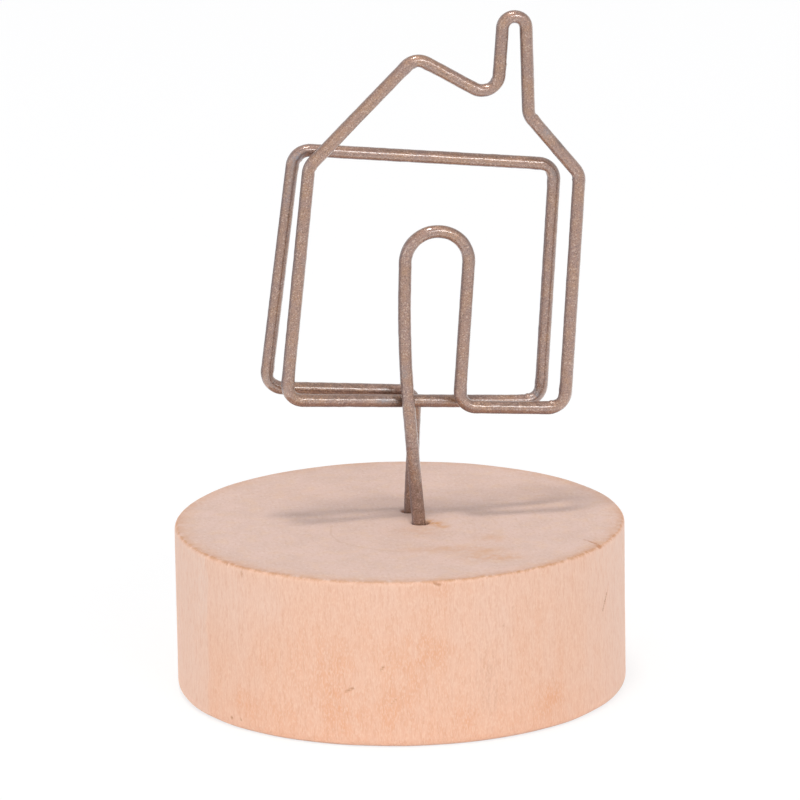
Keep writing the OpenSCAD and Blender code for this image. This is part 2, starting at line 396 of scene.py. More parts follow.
def bore(s, hx, hy, rimHeight):
    # the surface (angle, way down) of one drilled hole, then its floor, which rises to the wall as a cone
    a = np.linspace(0, 2 * np.pi, s["holeColumns"], endpoint=False)
    down = np.linspace(0, 1, s["boreRows"])[1:, None] ** s["boreCrowding"] * s["holeDepth"]
    deep, reach, *tornWaves, seed = s["torn"]
    r = s["holeRadius"] + deep * waves(a, down, *tornWaves, int(10 * hy) + seed) * bell(down, reach)
    floorHeight = s["height"] - s["holeDepth"]
    z = rimHeight - down * (rimHeight - floorHeight) / s["holeDepth"]
    wall = np.stack([hx + r * np.cos(a), hy + r * np.sin(a), z + 0 * a], -1)
    tip = np.array([[hx, hy, floorHeight - s["drillTip"]]])
    return wall.reshape(-1, 3), tip


def topShares(s, points, shares, inTop):
    # the rim's line carried on over the top face as a bell, the stains, and the growth rings, which show most
    # in one part of one ring
    x, y, z = points.T
    begins, complete = s["topBand"]
    onTop = smooth(z, s["height"] - begins, s["height"] - complete)
    fromMiddle = np.hypot(x, y)
    inwards = fromMiddle[:s["columns"]].mean() - fromMiddle[inTop]
    shares["rim"][inTop] = shares["rim"][:s["columns"]].mean() * bell(inwards, s["rimInside"])
    angle = np.degrees(np.arctan2(y, x))
    for at, width, share in s["rimFades"]:
        shares["rim"] *= 1 - share * bell(turnFrom(angle, at), width)

    yellow, begins, complete = s["edgeStain"]
    shares["stain"] = onTop * blots(x, y, s["topStains"])
    shares["stain"] += onTop * yellow * smooth(fromMiddle, s["radius"] - begins, s["radius"] - complete)

    cx, cy = s["ringCentre"]
    onLeft, inFront = s["ringShows"]
    shown = smooth(cx - x, *onLeft) * smooth(cy - y, *inFront)
    nearRing = shown * bell(np.hypot(x - cx, y - cy) - s["ringRadius"], s["ringWidth"])
    shares["ring"] = onTop * (s["ringElsewhere"] + (1 - s["ringElsewhere"]) * nearRing)


def sideShares(s, points, shares, onSide):
    # on the side, the sum of its patches of each kind and of what changes evenly: it is warmer at its foot,
    # paler at its top and in one band
    x, y, z = points.T
    middle, half, sharp, soft = s["paleBand"]
    inBand = turnFrom(np.degrees(np.arctan2(y, x)), middle)
    inBand += sum(high * np.sin(pace * z + start) for high, pace, start in s["bandWander"])
    band = smooth(inBand, -half - soft, -half + soft) * smooth(-inBand, -half - sharp, -half + sharp)
    foot = s["lowBlush"] * (1 - smooth(z, 0, s["height"] / 2))
    head = s["highPaler"] * smooth(z, s["height"] * s["palerFrom"], s["height"])
    arc = shares.pop("arc")
    perDegree = np.radians(s["radius"])
    kinds = {"blush": ("sideBlush", foot), "pale": ("sidePaler", band + head), "grey": ("sideGrey", 0)}
    for key, (places, even) in kinds.items():
        placed = [(a * perDegree, *size) for a, *size in s[places]]
        shares[key] = onSide * (even + blots(arc, z, placed))


def woodenBase(s):
    # one closed mesh: the side's grid, the top face in its first ring, the bores in the top's holes, and the
    # rings and the centre of the underside, each ring a share of the side's last one
    side, values = baseSide(s)
    rows, columns = side.shape[:2]
    flat, triangles = topFace(s, side[0, :, :2])
    relief, topMark = topRelief(flat[:, 0], flat[:, 1], s)
    rimHeight = side[0, :, 2].mean()
    level = np.concatenate([side[0, :, 2], rimHeight - relief[columns:] + relief[:columns].mean()])
    top = np.column_stack([flat, level])
    sidePoints = rows * columns
    total = sidePoints + len(top) - columns
    inTop = slice(sidePoints, total)
    topIndex = np.concatenate([np.arange(columns), np.arange(sidePoints, total)])
    parts = [side.reshape(-1, 3), top[columns:]]
    faces = gridFaces(rows, columns).tolist() + topIndex[triangles].tolist()
    around = s["holeColumns"]
    for h, (hx, hy) in enumerate(s["holes"]):
        rim = columns + h * around + np.arange(around)
        wall, tip = bore(s, hx, hy, top[rim, 2].mean())
        index = np.concatenate([topIndex[rim], total + np.arange(len(wall))])
        # turned over, because a bore's surface faces its own middle
        faces += index[gridFaces(s["boreRows"], around)[:, ::-1]].tolist()
        faces += fan(index[-around:], total + len(wall))[:, ::-1].tolist()
        parts += [wall, tip]
        total += len(wall) + 1
    under = np.vstack([side[-1] * (share, share, 1) for share in s["underRings"]])
    index = np.concatenate([sidePoints - columns + np.arange(columns), total + np.arange(len(under))])
    faces += index[gridFaces(len(s["underRings"]) + 1, columns)].tolist()
    faces += fan(index[-columns:], total + len(under)).tolist()
    points = np.vstack(parts + [under, np.zeros((1, 3))])

    rest = np.zeros(len(points) - sidePoints)
    shares = {key: np.concatenate([share.ravel(), rest]) for key, share in values.items()}
    shares["endGrain"][inTop] = 1
    shares["endGrain"][total:] = 1
    shares["mark"][inTop] = topMark[columns:]
    topShares(s, points, shares, inTop)
    onSide = (np.arange(len(points)) < sidePoints) & (points[:, 2] < s["height"] - s["topBand"][1])
    sideShares(s, points, shares, onSide)
    return makePiece("woodenBase", points, faces, "wooden_base", shares)


# The house wire

wireSizes = {
    "baseTop": 15.0,
    "holeDepth": 10.0,
    "holePlay": 0.5,
    "frontHole": (1.7, -1.2),
    "rearHole": (1.4, 2.9),
    "rimGap": 0.08,
    "glueBed": 0.5,
    "wireD": 1.15,
    "cornerR": 1.5,
    "legBendR": 6.0,
    "rearLegR": 1.4,
    "legBowR": 100.0,
    "archShare": 0.98,
    "leanAngle": 4.5,
    "houseRight": 0.78,
    "floorRise": 10.78,
    "leftRoomW": 11.0,
    "rightRoomW": 9.5,
    "wallH": 21.35,
    "leftFootRise": 0.25,
    "rightFootRise": 0.1,
    "leftWallIn": 0.75,
    "rightWallIn": 0.15,
    "ridgeRise": 10.1,
    "ridgeRun": 8.8,
    "doorFootW": 4.5,
    "doorW": 5.8,
    "doorH": 15.85,
    "bowRise": 5.15,
    "bowLeft": 0.8,
    "eaveRun": 4.9,
    "eaveRise": 5.2,
    "chimneyFootW": 2.85,
    "chimneyW": 2.0,
    "chimneyH": 8.75,
    "chimneyStep": 1.15,
    "rearLeftW": 12.5,
    "rearRightW": 12.3,
    "rearH": 21.85,
    "rearLeftRise": 0.7,
    "rearLeftIn": 1.1,
    "rearRightIn": 0.4,
    "rearLegRight": 0.95,
    "crossGap": 0.12,
    "gripGap": 0.4,
    "ringStep": 0.15,
    "sides": 28,
    "unevenness": 0.006,        # how far the coating's surface wanders in and out
    "coatWaves": ((0, 3), (-6, 6), 40, 21),
    # the wire bulges inwards at the two ends of a bend: how far, how long, how far past the bend
    "shoulder": (0.09, 0.38, 0.12),
    "pinch": (0.04, 0.3),       # how deep the bending tool pressed between them, and how long
    "innerSpread": 0.6,         # how wide round the wire both are
    "sharpArc": 2.4,            # length of a bend from which both grow weaker
    # bends without those swellings
    "smoothBends": ("frontBend", "bow", "doorLeftTop", "doorRightTop", "rightEave", "chimneyRightFoot",
                    "chimneyRightTop", "chimneyLeftTop", "leftEave", "rearLegTop", "rearBend"),
    # painted shade: the coat is painted darker and greyer on the surfaces that face these ways, standing in
    # for dark reflections along the wire's left and lower edges: the way, the cosines at which that begins
    # and is complete, and its strength
    "paintedShadeSides": [((-0.97, 0.2, 0.1), 0.45, 0.97, 0.5), ((0.04, -0.1, -0.99), 0.72, 0.92, 0.85)],
}


def turnBetween(a, b, c):
    # angle by which the way from a to c turns at b: acos of the two directions' product
    return np.arccos(min(1.0, float(unit(b - a) @ unit(c - b))))


def wireRoute(s):
    # the named corners of the wire with their bend radii, worked out as on the part itself: a point of the
    # house lies across*cos + up*sin to the right of its corner and up*cos - across*sin above the floor line
    lean = np.radians(s["leanAngle"])
    floorZ = s["baseTop"] + s["floorRise"]
    apart = (s["wireD"] + s["crossGap"]) * (s["leftRoomW"] + s["rearRightW"]) / min(
        s["leftRoomW"], s["rearRightW"] - s["rearLegRight"])
    frontY, rearY = -apart / 2, apart / 2
    gripY = frontY + s["wireD"] + s["gripGap"]
    rearTop = s["rearH"] + s["rearLeftRise"]

    def leaning(across, up, y):
        return np.array([
            s["houseRight"] + across * np.cos(lean) + up * np.sin(lean),
            y,
            floorZ + up * np.cos(lean) - across * np.sin(lean),
        ])

    def inFront(across, up):
        return leaning(across, up, frontY)

    def behind(across, up):
        return leaning(across, up, rearY + (gripY - rearY) * up / rearTop)

    rightFootX = s["doorFootW"] + s["rightRoomW"]
    rightEaveX = rightFootX - s["rightWallIn"]
    chimneyX = rightEaveX - s["eaveRun"]
    chimneyZ = s["wallH"] + s["eaveRise"]
    chimneyLeftX = chimneyX - s["chimneyFootW"]
    leftEaveX = s["leftWallIn"] - s["leftRoomW"]
    corners = {
        "bow": inFront(-s["bowLeft"], s["bowRise"]),
        "doorLeftTop": inFront(s["doorFootW"] - s["doorW"], s["doorH"]),
        "doorRightTop": inFront(s["doorFootW"], s["doorH"]),
        "doorFoot": inFront(s["doorFootW"], 0),
        "rightFoot": inFront(rightFootX, s["rightFootRise"]),
        "rightEave": inFront(rightEaveX, s["wallH"]),
        "chimneyRightFoot": inFront(chimneyX, chimneyZ),
        "chimneyRightTop": inFront(chimneyLeftX + s["chimneyW"], chimneyZ + s["chimneyH"]),
        "chimneyLeftTop": inFront(chimneyLeftX, chimneyZ + s["chimneyH"]),
        "chimneyLeftFoot": inFront(chimneyLeftX, chimneyZ + s["chimneyStep"]),
        "ridge": inFront(leftEaveX + s["ridgeRun"], s["wallH"] + s["ridgeRise"]),
        "leftEave": inFront(leftEaveX, s["wallH"]),
        "leftFoot": inFront(-s["leftRoomW"], s["leftFootRise"]),
        "rearRightFoot": behind(s["rearRightW"], 0),
        "rearRightTop": behind(s["rearRightW"] - s["rearRightIn"], s["rearH"]),
        "rearLeftTop": behind(s["rearLeftIn"] - s["rearLeftW"], rearTop),
        "rearLeftFoot": behind(-s["rearLeftW"], s["rearLeftRise"]),
        "rearLegTop": behind(s["rearLegRight"], s["rearLeftRise"]),
    }

    def holePoint(hole, depth):
        return np.array([hole[0], hole[1], s["baseTop"] - depth])

    def bendDepth(hole, above):
        # the slanted leg passes the rim of its hole at leanOut from the hole's middle
        leanOut = s["holePlay"] / 2 - s["rimGap"]
        reach = np.hypot(above[0] - hole[0], above[1] - hole[1])
        return min(s["holeDepth"] / 2, leanOut * (above[2] - s["baseTop"]) / max(reach - leanOut, leanOut))

    def archR(a, b, c, d):
        # the radius at which the arcs of the corners b and c nearly meet
        halfTurns = np.tan(turnBetween(a, b, c) / 2) + np.tan(turnBetween(b, c, d) / 2)
        return s["archShare"] * np.linalg.norm(c - b) / halfTurns

    doorR = archR(corners["bow"], corners["doorLeftTop"], corners["doorRightTop"], corners["doorFoot"])
    chimneyR = archR(corners["chimneyRightFoot"], corners["chimneyRightTop"], corners["chimneyLeftTop"],
                     corners["chimneyLeftFoot"])
    radii = {name: s["cornerR"] for name in corners}
    radii.update(bow=s["legBowR"], doorLeftTop=doorR, doorRightTop=doorR, rearLegTop=s["rearLegR"],
                 chimneyRightTop=chimneyR, chimneyLeftTop=chimneyR)
    end = s["holeDepth"] - s["glueBed"]
    front, rear = s["frontHole"], s["rearHole"]
    route = [("frontEnd", holePoint(front, end), 0)]
    route.append(("frontBend", holePoint(front, bendDepth(front, corners["bow"])), s["legBendR"]))
    route += [(name, corner, radii[name]) for name, corner in corners.items()]
    route.append(("rearBend", holePoint(rear, bendDepth(rear, corners["rearLegTop"])), s["legBendR"]))
    route.append(("rearEnd", holePoint(rear, end), 0))
    return route


def turned(v, axis, angle):
    # v turned about axis by each angle: v cos + (axis x v) sin + axis (axis.v)(1 - cos)
    angle = np.asarray(angle)[:, None]
    return v * np.cos(angle) + np.cross(axis, v) * np.sin(angle) + axis * (axis @ v) * (1 - np.cos(angle))


def wirePath(route, step):
    # rings along the route: straight stretches and arcs, each with its middle, direction and side vector,
    # where the side vector turns with each arc and never round the wire
    names = [r[0] for r in route]
    points = np.array([r[1] for r in route])
    radii = np.array([r[2] for r in route], float)
    ways = unit(np.diff(points, axis=0))
    side = unit(np.cross(ways[0], [0, 1.0, 0]))
    middles, directions, sides, bends = [], [], [], {}
    start, gone = points[0], 0.0
    for i in range(1, len(points)):
        along = ways[i - 1]
        angle = turnBetween(points[i - 1], points[i], points[i + 1]) if i < len(points) - 1 else 0
        taken = radii[i] * np.tan(angle / 2)
        finish = points[i] - taken * along
        run = np.linalg.norm(finish - start)
        t = np.linspace(0, 1, max(2, int(run / step) + 1), endpoint=i == len(points) - 1)[:, None]
        middles.append(start + t * (finish - start))
        directions.append(np.repeat(along[None], len(t), 0))
        sides.append(np.repeat(side[None], len(t), 0))
        gone += run
        if i == len(points) - 1:
            break
        axis = unit(np.cross(along, ways[i]))
        inward = np.cross(axis, along)
        arc = radii[i] * angle
        t = np.linspace(0, angle, max(4, int(arc / step) + 1), endpoint=False)
        hub = finish + radii[i] * inward
        middles.append(hub + turned(-radii[i] * inward, axis, t))
        directions.append(turned(along, axis, t))
        sides.append(turned(side, axis, t))
        bends[names[i]] = {"at": gone + arc / 2, "arc": arc, "inward": turned(inward, axis, [angle / 2])[0]}
        side = turned(side, axis, [angle])[0]
        start, gone = points[i] + taken * ways[i], gone + arc
    middles, directions, sides = np.vstack(middles), np.vstack(directions), np.vstack(sides)
    station = np.concatenate([[0], np.cumsum(np.linalg.norm(np.diff(middles, axis=0), axis=1))])
    return middles, directions, sides, station, bends


# Tool marks beside a corner: how far along from it, the side they face, length, how wide round, depth
wireNicks = [
    ("chimneyLeftFoot", -0.75, (-1, -0.1, 0.2), 0.13, 0.35, -0.07),
    ("chimneyLeftFoot", -0.42, (-1, -0.2, 0.5), 0.20, 0.35, 0.20),
    ("chimneyLeftFoot", -0.1, (-0.7, -0.2, 0.7), 0.16, 0.35, 0.14),
    ("chimneyLeftFoot", -2.4, (1, 0, 0.1), 0.16, 0.22, -0.10),
    ("chimneyRightFoot", -0.55, (0.9, -0.2, 0.4), 0.20, 0.40, -0.06),
    ("chimneyRightFoot", -0.15, (0.9, -0.3, 0.4), 0.20, 0.40, 0.04),
    ("ridge", 0.3, (0.1, 0, -1), 0.25, 0.30, -0.07),
    ("rightEave", -0.45, (-1, 0, -0.2), 0.15, 0.30, -0.08),
    ("leftEave", -0.15, (1, 0, -0.3), 0.20, 0.35, -0.05),
    ("leftEave", 0.25, (1, 0, -0.3), 0.18, 0.35, 0.04),
    ("rearLeftTop", -0.6, (0.3, -0.9, -0.5), 0.50, 0.45, 0.10),
    ("rearLeftTop", 0.1, (0.7, 0, -0.7), 0.45, 0.35, -0.10),
    ("rearRightTop", 0.3, (-0.8, 0, -0.7), 0.35, 0.40, 0.09),
    ("rearLeftFoot", -0.5, (1, 0, 0.3), 0.40, 0.40, 0.10),
    ("rearRightFoot", 0.3, (-0.8, -0.3, 0.8), 0.30, 0.35, 0.18),
    ("rearRightFoot", -0.75, (-0.2, 0, 1), 0.22, 0.35, -0.10),
    ("rightFoot", 0.2, (-1, -0.1, 0.7), 0.22, 0.35, 0.15),
    ("rightFoot", -0.75, (-0.1, 0, 1), 0.24, 0.40, -0.10),
    ("doorFoot", 0.5, (0.9, 0, 0.5), 0.25, 0.35, 0.08),
    ("leftFoot", 0.4, (1, 0, 0.5), 0.25, 0.35, 0.07),
    # the film of glue that crept up each leg from its hole
    ("frontBend", 3.0, (0.3, -1, 0), 2.6, 2.5, -0.045),
    ("rearBend", -3.0, (-0.3, -1, 0), 2.6, 2.5, -0.045),
]

# Where the coating is rubbed down to grey steel, in the same form with a strength at the end
wornPlaces = [
    ("rightEave", 4.9, (0.3, -1, 0.4), 0.5, 0.40, 0.7),
    ("leftFoot", 8.5, (0, -1, 0.3), 0.75, 0.55, 0.9),
    ("bow", -2.1, (-0.6, -1, 0), 0.45, 0.50, 0.6),
    ("rearLeftTop", 0.2, (0.3, -1, -0.2), 0.8, 0.60, 0.9),
    ("rearLeftTop", 3.0, (0, -1, -0.1), 2.6, 0.40, 0.5),
    ("rearRightFoot", 0.0, (-0.2, -1, 0.3), 0.8, 0.70, 0.9),
    ("rearLeftFoot", -0.3, (0, -1, 0), 0.9, 0.45, 0.5),
    ("doorRightTop", 1.6, (0.5, -1, 0), 1.2, 0.45, 0.35),
    ("rearRightTop", -0.4, (0, -1, 0.1), 0.6, 0.45, 0.5),
]

# Where the coating is darker, in the same form: partly the coat's own darker patina, partly painted shade
# and painted dark reflections, as on the legs' lower ends near the wood and on the wire beside the legs
darkCoatAndShadePlaces = [
    ("doorFoot", 4.7, (0, -0.72, 0.69), 4.6, 0.33, 1.0),
    ("leftFoot", 4.6, (0, -0.72, 0.69), 4.8, 0.33, 1.0),
    ("leftFoot", 14.0, (0, -0.6, 0.8), 3.6, 0.40, 0.9),
    ("leftFoot", 10.0, (0, -1, 0.1), 0.90, 1.20, 1.4),
    ("rightEave", 3.3, (0.9, -0.4, 0.6), 0.8, 0.50, 1.2),
    ("doorRightTop", 0.0, (0.9, -0.2, 0.7), 3.5, 0.35, 0.8),
    ("rearRightTop", 0.0, (0.8, -0.2, 0.7), 1.4, 0.40, 0.9),
    ("chimneyRightTop", 0.6, (0.9, -0.2, 0.7), 1.4, 0.35, 0.7),
    ("rearLeftFoot", 6.5, (0, -0.72, 0.69), 5.0, 0.30, 1.0),
    ("rearLeftFoot", 6.5, (0, -0.7, -0.72), 5.0, 0.33, 0.9),
    ("rearLeftTop", 12.0, (0, -0.8, 0.6), 9.0, 0.22, 0.45),
    ("rearLegTop", -2.4, (0, -1, 0.2), 0.5, 1.00, 0.8),
    ("frontBend", 4.2, (0, -1, 0), 4.5, 3.00, 0.6),
    ("rearBend", -4.5, (0, -1, 0), 5.0, 3.00, 0.7),
]


def facing(outwards, direction, spread):
    # how squarely each point of a ring faces a direction: exp((cos - 1) / spread^2)
    return np.exp((outwards @ unit(np.array(direction, float)) - 1) / spread ** 2)


def patches(outwards, station, bends, places):
    # sum over the places: strength times a bell along the wire times how squarely the ring faces the side
    total = np.zeros(outwards.shape[:2])
    for name, ahead, side, length, spread, strength in places:
        near = bell(station - bends[name]["at"] - ahead, length)[:, None]
        total += strength * near * facing(outwards, side, spread)
    return total


def swellings(outwards, station, bends, s):
    # on the inner side of each sharp bend, a bell outwards at both of its ends and one inwards between them
    total = np.zeros(outwards.shape[:2])
    high, length, past = s["shoulder"]
    deep, pinchLength = s["pinch"]
    for name, bend in bends.items():
        if name not in s["smoothBends"]:
            ahead = station - bend["at"]
            apart = bend["arc"] / 2 + past
            swelling = high * (bell(ahead + apart, length) + bell(ahead - apart, length))
            swelling -= deep * bell(ahead, pinchLength)
            sharp = min(1.0, s["sharpArc"] / bend["arc"])
            total += facing(outwards, bend["inward"], s["innerSpread"]) * sharp * swelling[:, None]
    return total


def houseWire(s):
    # the surface (way along the wire, angle round it): each ring's middle + radius * (side cos + other sin),
    # with a radius that swells and dips where the tool bent the wire
    middles, directions, sides, station, bends = wirePath(wireRoute(s), s["ringStep"])
    others = np.cross(directions, sides)
    around = np.linspace(0, 2 * np.pi, s["sides"], endpoint=False)
    cos, sin = np.cos(around)[:, None], np.sin(around)[:, None]
    outwards = sides[:, None] * cos + others[:, None] * sin
    radius = s["wireD"] / 2 + s["unevenness"] * waves(around[None], station[:, None], *s["coatWaves"])
    radius += swellings(outwards, station, bends, s) - patches(outwards, station, bends, wireNicks)
    points = middles[:, None] + outwards * radius[..., None]
    shares = {"paintedEdgeShade": np.zeros_like(radius)}
    # the rubbed places, then the darker places, which are partly patina and partly painted shade and
    # reflections
    for key, places in (("worn", wornPlaces), ("dark", darkCoatAndShadePlaces)):
        shares[key] = np.clip(patches(outwards, station, bends, places), 0, 1)
    # painted shade: a darker, greyer coat on the sides that face left and down
    for way, begins, complete, strength in s["paintedShadeSides"]:
        squarely = smooth(outwards @ unit(np.array(way)), begins, complete)
        shares["paintedEdgeShade"] = np.maximum(shares["paintedEdgeShade"], strength * squarely)

    rings, columns = radius.shape
    ring, total = np.arange(columns), rings * columns
    # turned over, because the way along the wire and the angle round it give quads that face inward
    faces = gridFaces(rings, columns)[:, ::-1].tolist()
    faces += fan(ring, total).tolist() + fan(total - columns + ring, total + 1)[:, ::-1].tolist()
    return makePiece("houseWire", np.vstack([points.reshape(-1, 3), middles[0], middles[-1]]), faces,
                     "house_wire", {key: np.append(share, [0, 0]) for key, share in shares.items()})


# Materials

def addNode(tree, kind, inputs=None, **settings):
    # one shader node: its settings, then a number or a link for each input
    node = tree.nodes.new(kind)
    for key, value in settings.items():
        setattr(node, key, value)
    for key, value in (inputs or {}).items():
        if isinstance(value, bpy.types.NodeSocket):
            tree.links.new(value, node.inputs[key])
        else:
            node.inputs[key].default_value = value
    return node


def newMaterial(name, fixed):
    # an empty node material, its shader with those fixed values, and object coordinates in millimetres
    material = bpy.data.materials.new(name)
    material.use_nodes = True
    tree = material.node_tree
    tree.nodes.clear()
    shader = addNode(tree, "ShaderNodeBsdfPrincipled", fixed)
    addNode(tree, "ShaderNodeOutputMaterial", {"Surface": shader.outputs[0]})
    place = addNode(tree, "ShaderNodeTexCoord").outputs["Object"]
    return material, tree, shader, scaled(tree, place, (1000, 1000, 1000))


def scaled(tree, place, scale):
    # the coordinates times a scale for each axis
    return addNode(tree, "ShaderNodeMapping", {"Vector": place, "Scale": scale}).outputs[0]


def noises(tree, place, wanted):
    # smooth random values from 0 to 1 under each name: the stretch along x, y and z, how many a millimetre,
    # detail and roughness
    found = {}
    for name, (stretch, scale, detail, roughness) in wanted.items():
        found[name] = addNode(tree, "ShaderNodeTexNoise", {
            "Vector": scaled(tree, place, stretch), "Scale": scale, "Detail": detail,
            "Roughness": roughness}).outputs["Fac"]
    return found


def calc(tree, operation, a, b=0.0, c=0.0):
    # one sum
    return addNode(tree, "ShaderNodeMath", {0: a, 1: b, 2: c}, operation=operation).outputs[0]


def between(tree, value, low, high):
    # 0 at low and 1 at high, smoothly
    return addNode(tree, "ShaderNodeMapRange", {"Value": value, "From Min": low, "From Max": high},
                   interpolation_type="SMOOTHSTEP").outputs[0]


def blend(tree, share, a, b):
    # colour a where share is 0 and b where it is 1
    return addNode(tree, "ShaderNodeMix", {0: share, 6: a, 7: b}, data_type="RGBA").outputs[2]


def carried(tree, name):
    # the number that the mesh carries under that name
    return addNode(tree, "ShaderNodeAttribute", attribute_name=name).outputs["Fac"]


def layer(tree, below, over, pattern, low, high, most, name=None):
    # the colour over laid on the one below: its share is the pattern from low to high, times most, times what
    # the mesh carries under the name
    share = calc(tree, "MULTIPLY", between(tree, pattern, low, high), most)
    if name:
        share = calc(tree, "MULTIPLY", share, carried(tree, name))
    return blend(tree, share, below, over)


def raised(tree, shader, socket, height, strength, distance):
    # light meets that socket of the shader as if the height were real, distance metres for 1
    bump = addNode(tree, "ShaderNodeBump", {"Height": height, "Strength": strength, "Distance": distance})
    tree.links.new(bump.outputs[0], shader.inputs[socket])


def roughened(tree, shader, pattern, low, high):
    # the shader's roughness, low where the pattern is 0 and high where it is 1
    rough = addNode(tree, "ShaderNodeMapRange", {"Value": pattern, "To Min": low, "To Max": high})
    tree.links.new(rough.outputs[0], shader.inputs["Roughness"])


def weighed(tree, parts):
    # the sum of each part times its share
    total = 0.0
    for part, share in parts:
        total = calc(tree, "MULTIPLY_ADD", part, share, total)
    return total


def colour(red, green, blue):
    # a screen colour of 0 to 255 as the linear one that a shader takes
    c = np.array([red, green, blue]) / 255
    linear = np.where(c <= 0.04045, c / 12.92, ((c + 0.055) / 1.055) ** 2.4)
    return (*linear.tolist(), 1.0)


woodLook = {
    "side": colour(241, 194, 166),
    "sidePeach": colour(236, 177, 141),
    "sidePale": colour(240, 207, 189),
    "sideGrey": colour(226, 184, 160),
    "grainDark": colour(227, 171, 139),
    "grainLight": colour(247, 211, 188),
    "end": colour(226, 195, 182),
    "endWarm": colour(227, 193, 168),
    "endGrey": colour(220, 189, 175),
    "endLight": colour(233, 210, 199),
    "pore": colour(208, 171, 146),
    "stain": colour(214, 160, 116),
    "rim": colour(196, 136, 90),
    "mark": colour(190, 132, 94),
    "noises": {
        "fine": ((1, 1, 0.17), 5.6, 2.0, 0.6),
        "finer": ((1, 1, 0.3), 10.08, 1.0, 0.5),
        "broad": ((1, 1, 0.12), 0.5, 3.0, 0.6),
        "patch": ((1, 1, 0.6), 0.9, 4.0, 0.65),
        "rings": ((1, 1, 0), 0.25, 2.0, 0.55),
        "endTone": ((1, 1, 0), 0.3, 3.0, 0.55),
        "endWarmth": ((1, 1, 0), 0.7, 4.0, 0.55),
        "speckle": ((1, 0.5, 0), 3.6, 4.0, 0.75),
        "staining": ((1, 1, 0), 1.1, 4.0, 0.65),
        "rimWear": ((1, 1, 1), 1.5, 4.0, 0.65),
        "ragged": ((1, 1, 1), 6.0, 2.0, 0.55),
    },
    # for each layer of colour: where its pattern begins and is complete, its strength, and the name of what
    # the mesh carries for it
    "broadPale": (0.36, 0.7, 0.3),
    "patchPeach": (0.42, 0.75),
    "patchMost": 0.3,
    "blushPeach": (0.25, 0.6),
    "paleMost": 0.6,
    "greyStreaks": (0.35, 0.6, 1.0, "grey"),
    "darkGrain": (0.40, 0.74, 0.5),
    "lightGrain": (0.46, 0.70, 0.55),
    "endTones": (0.35, 0.65),
    "warmEnd": (0.45, 0.75, 0.6),
    "ringLine": (0.09, 0.0, 0.5, "ring"),
    "darkSpeckle": (0.52, 0.70, 0.6),
    "lightSpeckle": (0.48, 0.32, 0.6),
    "stained": (0.3, 0.62, 0.75, "stain"),
    "rimLine": (0.3, 0.65, 0.8, "rim"),
    "marked": (0.35, 0.95, 0.7),
    "ringSpacing": 2.1,
    "ringWander": 1.6,
    "bump": (0.4, 0.00006),     # strength, and metres for a pattern of 1
    "roughness": (0.56, 0.74),
    "fixed": {"Specular IOR Level": 0.3},
}


def woodMaterial(look, sizes):
    material, tree, shader, place = newMaterial("bareWood", look["fixed"])
    n = noises(tree, place, look["noises"])

    # along the grain
    side = layer(tree, look["side"], look["sidePale"], n["broad"], *look["broadPale"])
    peach = calc(tree, "MULTIPLY", between(tree, n["patch"], *look["patchPeach"]), look["patchMost"])
    blush = between(tree, n["patch"], *look["blushPeach"])
    peach = calc(tree, "MULTIPLY_ADD", carried(tree, "blush"), blush, peach)
    side = blend(tree, peach, side, look["sidePeach"])
    paler = calc(tree, "MULTIPLY", carried(tree, "pale"), look["paleMost"])
    side = blend(tree, paler, side, look["sidePale"])
    side = layer(tree, side, look["sideGrey"], n["fine"], *look["greyStreaks"])
    side = layer(tree, side, look["grainDark"], n["fine"], *look["darkGrain"])
    side = layer(tree, side, look["grainLight"], n["finer"], *look["lightGrain"])

    # across it, with growth rings: lines where (distance + wander - radius) / spacing is whole
    flat = scaled(tree, place, (1, 1, 0))
    centre = (*sizes["ringCentre"], 0.0)
    distance = addNode(tree, "ShaderNodeVectorMath", {0: flat, 1: centre}, operation="DISTANCE")
    wander = calc(tree, "MULTIPLY_ADD", n["rings"], look["ringWander"], -look["ringWander"] / 2)
    outside = calc(tree, "ADD", distance.outputs["Value"], wander)
    outside = calc(tree, "SUBTRACT", outside, sizes["ringRadius"])
    rings = calc(tree, "PINGPONG", calc(tree, "DIVIDE", outside, look["ringSpacing"]), 0.5)
    end = blend(tree, between(tree, n["endTone"], *look["endTones"]), look["endGrey"], look["end"])
    end = layer(tree, end, look["endWarm"], n["endWarmth"], *look["warmEnd"])
    end = layer(tree, end, look["pore"], rings, *look["ringLine"])
    end = layer(tree, end, look["pore"], n["speckle"], *look["darkSpeckle"])
    end = layer(tree, end, look["endLight"], n["speckle"], *look["lightSpeckle"])
    end = layer(tree, end, look["stain"], n["staining"], *look["stained"])

    wood = blend(tree, carried(tree, "endGrain"), side, end)
    wood = layer(tree, wood, look["rim"], n["rimWear"], *look["rimLine"])
    ragged = calc(tree, "MULTIPLY", carried(tree, "mark"), calc(tree, "ADD", n["ragged"], 0.5))
    wood = layer(tree, wood, look["mark"], ragged, *look["marked"])
    tree.links.new(wood, shader.inputs["Base Color"])
    raised(tree, shader, "Normal", weighed(tree, [(n["fine"], 0.6), (n["finer"], 0.4)]), *look["bump"])
    roughened(tree, shader, n["fine"], *look["roughness"])
    return material


